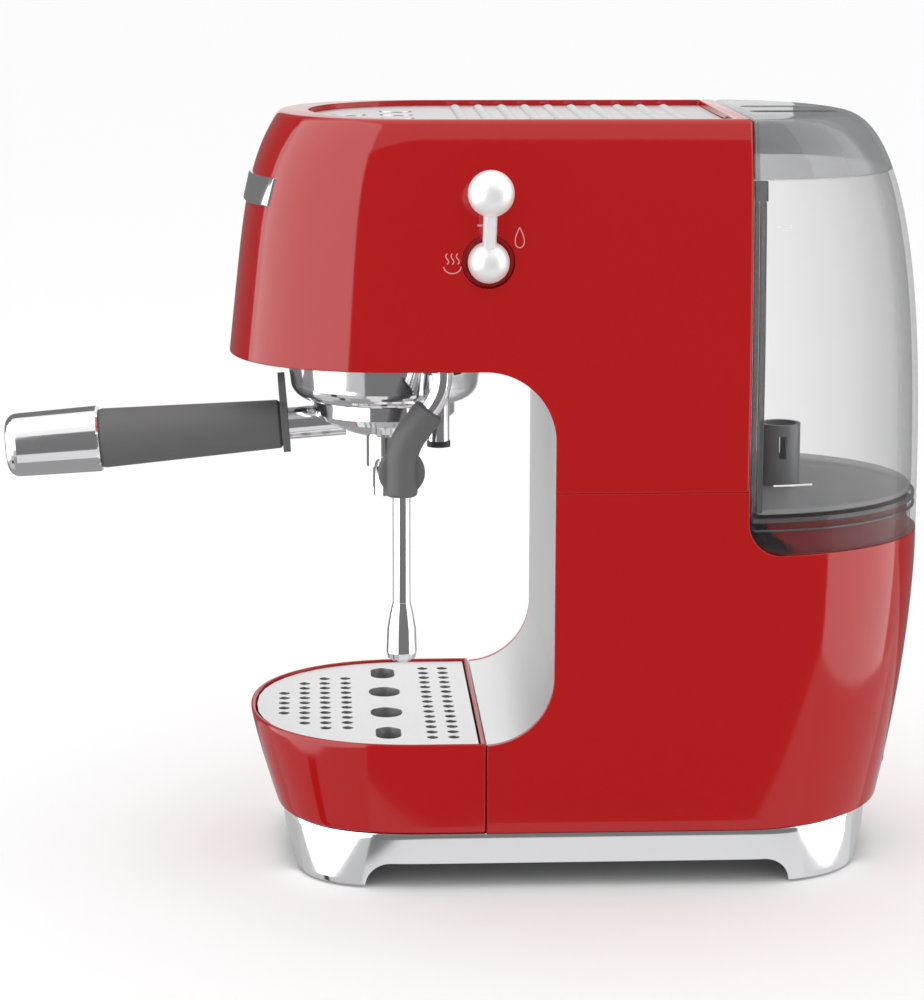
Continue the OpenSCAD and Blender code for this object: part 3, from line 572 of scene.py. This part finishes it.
def base_skirt():
    """Bright cast ring with an opening between the feet on every side."""
    height = BASE_HIGH.z - BASE_LOW.z
    stack = levels(BASE_LOW.z, BASE_HIGH.z, 0.8, 10)
    inset = [(1 - (z - BASE_LOW.z) / height) for z, _ in stack]
    rings = [at_z(base_outline(u, d), z) for (z, d), u in zip(stack, inset)]
    rings += [at_z(base_outline(u, RIM), z) for (z, _), u in list(zip(stack, inset))[::-1]]
    ring = closed_loft("base_skirt", rings)
    clear_r = 11.4
    window_x, window_front, window_rear = 33, -84, 78

    def window(low, high):
        right, left = corner(high, 0, clear_r, 0, 15), corner(low, 0, clear_r, 90, 15)
        return [(high + clear_r, -5), *right, *left, (low - clear_r, -5)]

    across = prism_x("tool", window(window_front, window_rear), -FAR, FAR)
    along = loft("tool", [[(x, y, z) for x, z in window(-window_x, window_x)] for y in (2 * FAR, -2 * FAR)])
    cut(ring, across, along)
    return piece(ring, "machine", "chrome", CHROME, "base_ring", angle=40)


def tray_shell():
    """Red tray front with a rolled rim, open at the top."""
    floor = TRAY_LOW.z
    top = TRAY_HIGH.z
    outer = levels(floor, top, 0.9, 18)
    rings = [at_z(tray_outline(z, d), z) for z, d in outer]
    rings += [at_z(tray_outline(z, d), z) for z, d in ((top - 0.15, 1.5), (top - 0.7, 1.95), (top - 2, 2.0))]
    rings += [at_z(tray_outline(z, 2.0), z) for z in (50, 40, floor + 2.5)]
    return piece(loft("tray_shell", rings), "drip_tray", "red_paint", RED, "tray_front")


def basin():
    """Dark inner basin that hangs in the red tray."""
    outside, inside, floor_t = 3.0, 4.8, 2
    between = (36, 42, 48, 54)
    rings = [at_z(tray_outline(z, outside), z) for z in (BASIN_LOW.z, 32, *between, BASIN_HIGH.z)]
    rings += [at_z(tray_outline(z, inside), z) for z in (BASIN_HIGH.z, *between[::-1], BASIN_LOW.z + floor_t)]
    return piece(loft("drip_basin", rings), "drip_tray", "dark_plastic", DARK, "tray_basin")


# ---------------------------------------------------------------- tank

def tank_ring(z, d, front=None):
    """Ring of the tank's or the lid's plan at height z, inset by d."""
    return at_z(rear_outline(z, TANK_LOW.y if front is None else front, d, r=TANK_EDGE_R), z)


def tank_walls():
    """Clear tank, hollow above its floor and open below as a skirt."""
    floor_low = TANK_Z + NOTCH_R
    skirt = spread(TANK_LOW.z, floor_low, 8)
    wall = spread(floor_low, LID_Z, 30)[1:]
    rings = [tank_ring(z, WALL, notch_front(z, GAP) + SKIRT_SPARE) for z in reversed(skirt)]
    rings += [tank_ring(z, 0, notch_front(z, GAP)) for z in skirt + wall]
    rings += [tank_ring(z, WALL) for z in reversed(wall[1:])]
    rings += [tank_ring(floor_low + WALL, WALL + 0.2)]
    return piece(loft("tank_walls", rings), "tank", "smoke_clear", TANK, "tank_shell")


def tank_floor():
    """Grey plate on the tank's floor and the two dark rings round its foot."""
    z = TANK_Z + NOTCH_R + WALL + 0.2
    section = ((0, 0.6), (1.4, 0.6), (2, 1.2))
    plate = loft("tank_floor_plate", [tank_ring(z + h, WALL + d) for h, d in section])
    piece(plate, "tank", "smoke_clear", FLOOR_GREY)
    for name, low, high in (("tank_foot_band", 14.4, 16.2), ("tank_foot_line", 10.6, 11.4)):
        section = [(TANK_Z + h, d) for h, d in ((low, 0.9), (high, 0.9), (high, 2.2), (low, 2.2))]
        hoop = closed_loft(name, [tank_ring(h, d, notch_front(h, GAP)) for h, d in section])
        piece(hoop, "tank", "smoke_clear", RING_GREY)


def tank_ribs():
    """Two upright ribs in each front corner of the tank, and a collar over them."""
    low, high = TANK_Z + 19, LID_Z - 9
    parts = (("outer", 0.3, 1.9, low, high, 5.0), ("inner", 2.7, 5.0, low, high, 5.0),
             ("collar", 0.3, 5.6, high + 0.4, high + 8.6, 5.6))
    for side, sign in (("right", 1), ("left", -1)):
        for name, y0, y1, z0, z1, reach in parts:
            rings = []
            for z in spread(z0, z1, 12):
                a, b = sorted(sign * (side_w(z) - d) for d in (0.7, reach))
                front, rear = TANK_LOW.y + y0, TANK_LOW.y + y1
                rings.append(at_z([(a, front), (b, front), (b, rear), (a, rear)], z))
            piece(loft(f"tank_rib_{name}_{side}", rings), "tank", "smoke_clear", RING_GREY)


def slot_outline(x, y, w, length):
    """Stadium with its long side along Y."""
    r = w / 2
    ends = [polar(r, a) for a in range(0, 181, 10)]
    straight = length / 2 - r
    return [(x + px, y + straight + py) for px, py in ends] + [(x - px, y - straight - py) for px, py in ends]


def lid():
    """Hollow lid with two finger pockets."""
    top_r = 1.2
    pocket_z, pocket_wall = 314, 1.8
    rings = [tank_ring(z, 2.2) for z in reversed(spread(LID_LOW.z, BODY_H - 2, 10))]
    rings += [tank_ring(z, 0) for z in spread(LID_LOW.z, BODY_H - top_r, 16)]
    rings += [tank_ring(z, d) for z, d in rounded(0, BODY_H, top_r)[1][1:]]
    cover = loft("tank_cover", rings)
    for x in (-15, 15):
        well = slot_outline(x, 92, 11 + 2 * pocket_wall, 38 + 2 * pocket_wall)
        combine(cover, prism("tool", well, pocket_z - pocket_wall, BODY_H - 1), "UNION")
        cut(cover, prism("tool", slot_outline(x, 92, 11, 38), pocket_z, BODY_H + 5))
    return piece(cover, "lid", "smoke_clear", LID, "tank_lid")


def side_ribbon(name, path, width, x_of, body, slot, ink):
    """Thin printed line on the right-hand side, along (Y, Z) points."""
    points = []
    for i, (y, z) in enumerate(path):
        ahead = Vector(path[min(i + 1, len(path) - 1)]) - Vector(path[max(i - 1, 0)])
        across = Vector((-ahead.y, ahead.x)).normalized() * width / 2
        for s in (1, -1):
            py, pz = y + s * across.x, z + s * across.y
            points += [(x_of(py, pz) + 0.02, py, pz), (x_of(py, pz) - 0.3, py, pz)]
    faces = []
    for i in range(len(path) - 1):
        a, b = 4 * i, 4 * (i + 1)
        faces += [(a, a + 2, b + 2, b), (a + 1, b + 1, b + 3, a + 3),
                  (a, b, b + 1, a + 1), (a + 2, a + 3, b + 3, b + 2)]
    end = 4 * (len(path) - 1)
    faces += [(0, 1, 3, 2), (end, end + 2, end + 3, end + 1)]
    return piece(mesh_object(name, points, faces), body, slot, ink, angle=60)


def head_x(y, z):
    return side_w(z)


def tank_x(y, z):
    b = rear_y(z) - TANK_Y
    return side_w(z) * math.sqrt(max(0.0, 1 - (max(0.0, y - TANK_Y) / b) ** 2))


def nose_mark():
    """Plain bright bar that follows the nose."""
    low, high = BADGE_LOW.z, BADGE_HIGH.z
    half = BADGE_HIGH.x - 2
    skin = []
    for z in (low, low + 0.6, high - 0.6, high):
        f = lean(z)
        w, b, cy = side_w(z), HALF_W - LEAN_W * f, HEAD_CY + LEAN_Y * f
        out = 1.4 if low < z < high else 0.9
        bulge = [(x, (1 - abs(x / w) ** HEAD_N) ** (1 / HEAD_N)) for x in spread(-half, half, 36)]
        front = [(x, cy - (b + out) * share) for x, share in bulge]
        back = [(x, cy - (b - 0.5) * share) for x, share in reversed(bulge)]
        skin.append(at_z(front + back, z))
    return piece(loft("nose_mark", skin), "machine", "chrome", CHROME, "nose_badge")


def icons():
    """Steam, water-drop and rest marks by the lever, and two plain level lines on the tank."""
    def mark(name, path, width=0.45):
        side_ribbon(name, path, width, head_x, "machine", "dark_plastic", INK)

    def level(name, path, width):
        side_ribbon(name, path, width, tank_x, "tank", "smoke_clear", WHITE)

    mark("icon_drop", [(-30 + 2.6 * math.sin(t) * math.sin(t / 2) ** 1.2, 282 + 4.2 * math.cos(t))
                       for t in spread(0, 2 * math.pi, 24)])
    for k in (-1, 0, 1):
        mark(f"icon_steam_{k + 2}", [(-58 + 2.2 * k + 0.6 * math.sin(i * 0.7), 271 + i * 0.5)
                                     for i in range(10)])
    mark("icon_steam_base", [(-58 + 3.6 * math.cos(a), 270 + 2.8 * math.sin(a))
                             for a in spread(math.pi, 2 * math.pi, 12)])
    mark("icon_rest", [(-47.6, 287), (-45, 287)], 0.8)
    level("level_low", [(78, 176.6), (86, 176.6), (95, 176.6)], 0.7)
    level("level_high", [(78, 286), (84, 286)], 0.6)


# ---------------------------------------------------------------- wand

WAND_LOW, WAND_HIGH = mm_box("wand_tube")
WAND_X = (WAND_LOW.x + WAND_HIGH.x) / 2
WAND_Y = (WAND_LOW.y + WAND_HIGH.y) / 2
PIVOT = joint_at("wand_tilt")
BEND_R = 24.0
BEND_A = math.radians(38)
BEND_TOP = 222.0
BEND_MID = 11.6
GRIP_LOW = mm_box("wand_grip")[0].z
GRIP_R = 6.85
PIPE_R = 4.2
STRAIGHT_Z = BEND_TOP - 2 * BEND_R * math.sin(BEND_A) - BEND_MID * math.cos(BEND_A)


def bends(steps=14):
    """Points of the wand's S-bend from the ball down to its straight stretch."""
    turn = [(BEND_R * (1 - math.cos(a)), BEND_R * math.sin(a)) for a in spread(0, BEND_A, steps)]
    upper = [(WAND_X, PIVOT.y - y, BEND_TOP - z) for y, z in turn]
    lower = [(WAND_X, WAND_Y + y, STRAIGHT_Z + z) for y, z in reversed(turn)]
    return upper, lower


def steam_pipe():
    """Bent pipe inside the grip."""
    upper, lower = bends()
    path = [(WAND_X, PIVOT.y, PIVOT.z - 3)] + upper + lower
    pipe = sweep("steam_pipe", path, [PIPE_R] * len(path))
    return piece(pipe, "wand", "chrome", CHROME, "wand_pipe", angle=40)


def steam_grip():
    """Rubber grip along the bend, with rounded ends and a round thumb tab on its side."""
    def along(a, b, parts):
        return [tuple(Vector(a).lerp(Vector(b), t)) for t in parts]

    upper, lower = bends()
    end_r = 1.6
    turns = spread(0, math.pi / 2, 5)
    slope = (Vector(lower[1]) - Vector(upper[-1])).length
    head = along(upper[-1], lower[1], [end_r * (1 - math.cos(a)) / slope for a in turns])
    above = (WAND_X, WAND_Y, GRIP_LOW + end_r)
    straight = along(lower[-1], above, spread(0, 1, 6)[1:])
    foot = along(above, (WAND_X, WAND_Y, GRIP_LOW), [math.sin(a) for a in turns[1:]])
    radii = [GRIP_R - end_r * (1 - math.sin(a)) for a in turns]
    radii += [GRIP_R] * (len(lower) - 1 + len(straight))
    radii += [GRIP_R - end_r * (1 - math.cos(a)) for a in turns[1:]]
    grip = sweep("steam_grip", head + lower[1:] + straight + foot, radii, 48)
    tab_r, half, edge = 10.0, 2.2, 0.9
    rim = [(tab_r - edge, half), (tab_r - edge * 0.3, half - edge * 0.3), (tab_r, half - edge)]
    profile = [(TINY, -half)] + [(r, -h) for r, h in rim] + rim[::-1] + [(TINY, half)]
    combine(grip, lathe("tool", profile, across_x(WAND_X, WAND_Y, STRAIGHT_Z - 3)), "UNION")
    return piece(grip, "wand", "grey_rubber", RUBBER, "wand_grip", angle=50)


head_shell()
body_shell()
tank_pedestal()
niche_liner()
base_skirt()
tray_shell()
basin()
tank_walls()
tank_floor()
tank_ribs()
lid()
icons()
nose_mark()
steam_pipe()
steam_grip()


# ---------------------------------------------------------------- studio

def card(name, at, aim, size, power, diffuse=False):
    """Soft rectangular light aimed at a point."""
    data = bpy.data.lights.new(name, "AREA")
    data.shape = "RECTANGLE"
    data.size, data.size_y = size
    data.energy = power
    lamp = bpy.data.objects.new(name, data)
    lamp.location = at
    lamp.rotation_euler = (Vector(aim) - Vector(at)).to_track_quat("-Z", "Y").to_euler()
    lamp.visible_camera = False
    lamp.visible_diffuse = diffuse
    bpy.context.scene.collection.objects.link(lamp)


FLOOR_HALF = 40000
floor = mesh_object("floor", at_z([(-FLOOR_HALF, -FLOOR_HALF), (FLOOR_HALF, -FLOOR_HALF),
                                   (FLOOR_HALF, FLOOR_HALF), (-FLOOR_HALF, FLOOR_HALF)], 0), [(0, 1, 2, 3)])
floor.data.materials.append(material("floor", (0.93, 0.93, 0.93), 0.9, grain=3, bump=0, mottle=0.0, edge=0))
floor.visible_glossy = False

world = bpy.data.worlds.new("studio")
world.use_nodes = True
sky, wires = world.node_tree.nodes, world.node_tree.links
where = sky.new("ShaderNodeTexCoord")
parts = sky.new("ShaderNodeSeparateXYZ")
wires.new(where.outputs["Generated"], parts.inputs["Vector"])
tone = sky.new("ShaderNodeValToRGB")
tone.color_ramp.elements.new(0.47)
for element, (height, grey) in zip(tone.color_ramp.elements, ((0.28, 0.32), (0.47, 0.8), (1.0, 1.0))):
    element.position = height
    element.color = (grey, grey, grey, 1)
shift = sky.new("ShaderNodeMapRange")
shift.inputs["From Min"].default_value = -1.0
wires.new(parts.outputs["Z"], shift.inputs["Value"])
wires.new(shift.outputs["Result"], tone.inputs["Fac"])
wires.new(tone.outputs["Color"], sky["Background"].inputs["Color"])
sky["Background"].inputs["Strength"].default_value = 1.12
bpy.context.scene.world = world

card("top_card", (0.1, 0.0, 1.6), (0, 0, 0.1), (1.6, 1.6), 3, diffuse=True)
card("front_card", (0.59, -0.85, 0.9), (0.59, 0, 0.9), (2.03, 2.6), 29)
card("rear_card", (0.25, 0.95, 0.7), (0.25, 0, 0.7), (1.05, 2.2), 12)


def flag(name, glow, *corners, shadow=False):
    """Panel of even brightness that is seen only in reflections; shadow hides a card behind it."""
    panel = mesh_object(name, corners, [(0, 1, 2, 3)])
    cloth = material(f"{name}_cloth", (0.0, 0.0, 0.0), 1.0, bump=0, edge=0, Specular_IOR_Level=0.0)
    shader = cloth.node_tree.nodes["Principled BSDF"]
    shader.inputs["Emission Color"].default_value = (glow, glow, glow, 1)
    shader.inputs["Emission Strength"].default_value = 1.0
    panel.data.materials.append(cloth)
    panel.visible_camera = panel.visible_diffuse = panel.visible_transmission = False
    panel.visible_shadow = shadow


def upright(x, y0, y1, z0, z1):
    return [(x, y0, z0), (x, y1, z0), (x, y1, z1), (x, y0, z1)]


def along_x(y, x0, x1, z0, z1):
    return [(x0, y, z0), (x1, y, z0), (x1, y, z1), (x0, y, z1)]


# Greys that the glossy sides, front and rear reflect; the low ones are in place of the pale floor.
flag("side_flag", 0.2, *upright(620, -380, 850, -150, 650))
flag("low_flag", 0.82, *upright(620, -380, 850, -900, -150))
flag("front_left_flag", 0.2, *upright(-500, -1200, -200, -130, 900))
flag("rear_left_flag", 0.2, *upright(-500, 175, 1200, -130, 900))
flag("front_low_flag", 0.6, *along_x(-810, -500, 1700, -900, -185), shadow=True)
flag("rear_low_flag", 0.75, *along_x(920, -500, 1500, -900, -185), shadow=True)
flag("dark_line", 0.06, *along_x(-790, 180, 300, -900, -180), shadow=True)

# ---------------------------------------------------------------- camera

CAMERA_AT = Vector((1.3196, -0.1185, 0.4242))
YAW, PITCH, ROLL = 0.05181, 0.19975, 0.00249
LENS = 108.83

forward = Vector((-math.cos(YAW) * math.cos(PITCH), math.sin(YAW) * math.cos(PITCH), -math.sin(PITCH)))
right = Vector((math.sin(YAW), math.cos(YAW), 0))
up = right.cross(forward)
turned_right = math.cos(ROLL) * right + math.sin(ROLL) * up
turned_up = math.cos(ROLL) * up - math.sin(ROLL) * right
camera = bpy.data.objects.new("camera", bpy.data.cameras.new("camera"))
camera.data.lens = LENS
camera.data.sensor_width = 36
camera.matrix_world = Matrix.Translation(CAMERA_AT) @ Matrix(
    (turned_right, turned_up, -forward)).transposed().to_4x4()
bpy.context.scene.collection.objects.link(camera)
bpy.context.scene.camera = camera
bpy.context.scene.view_settings.view_transform = "Standard"

bpy.context.view_layer.update()
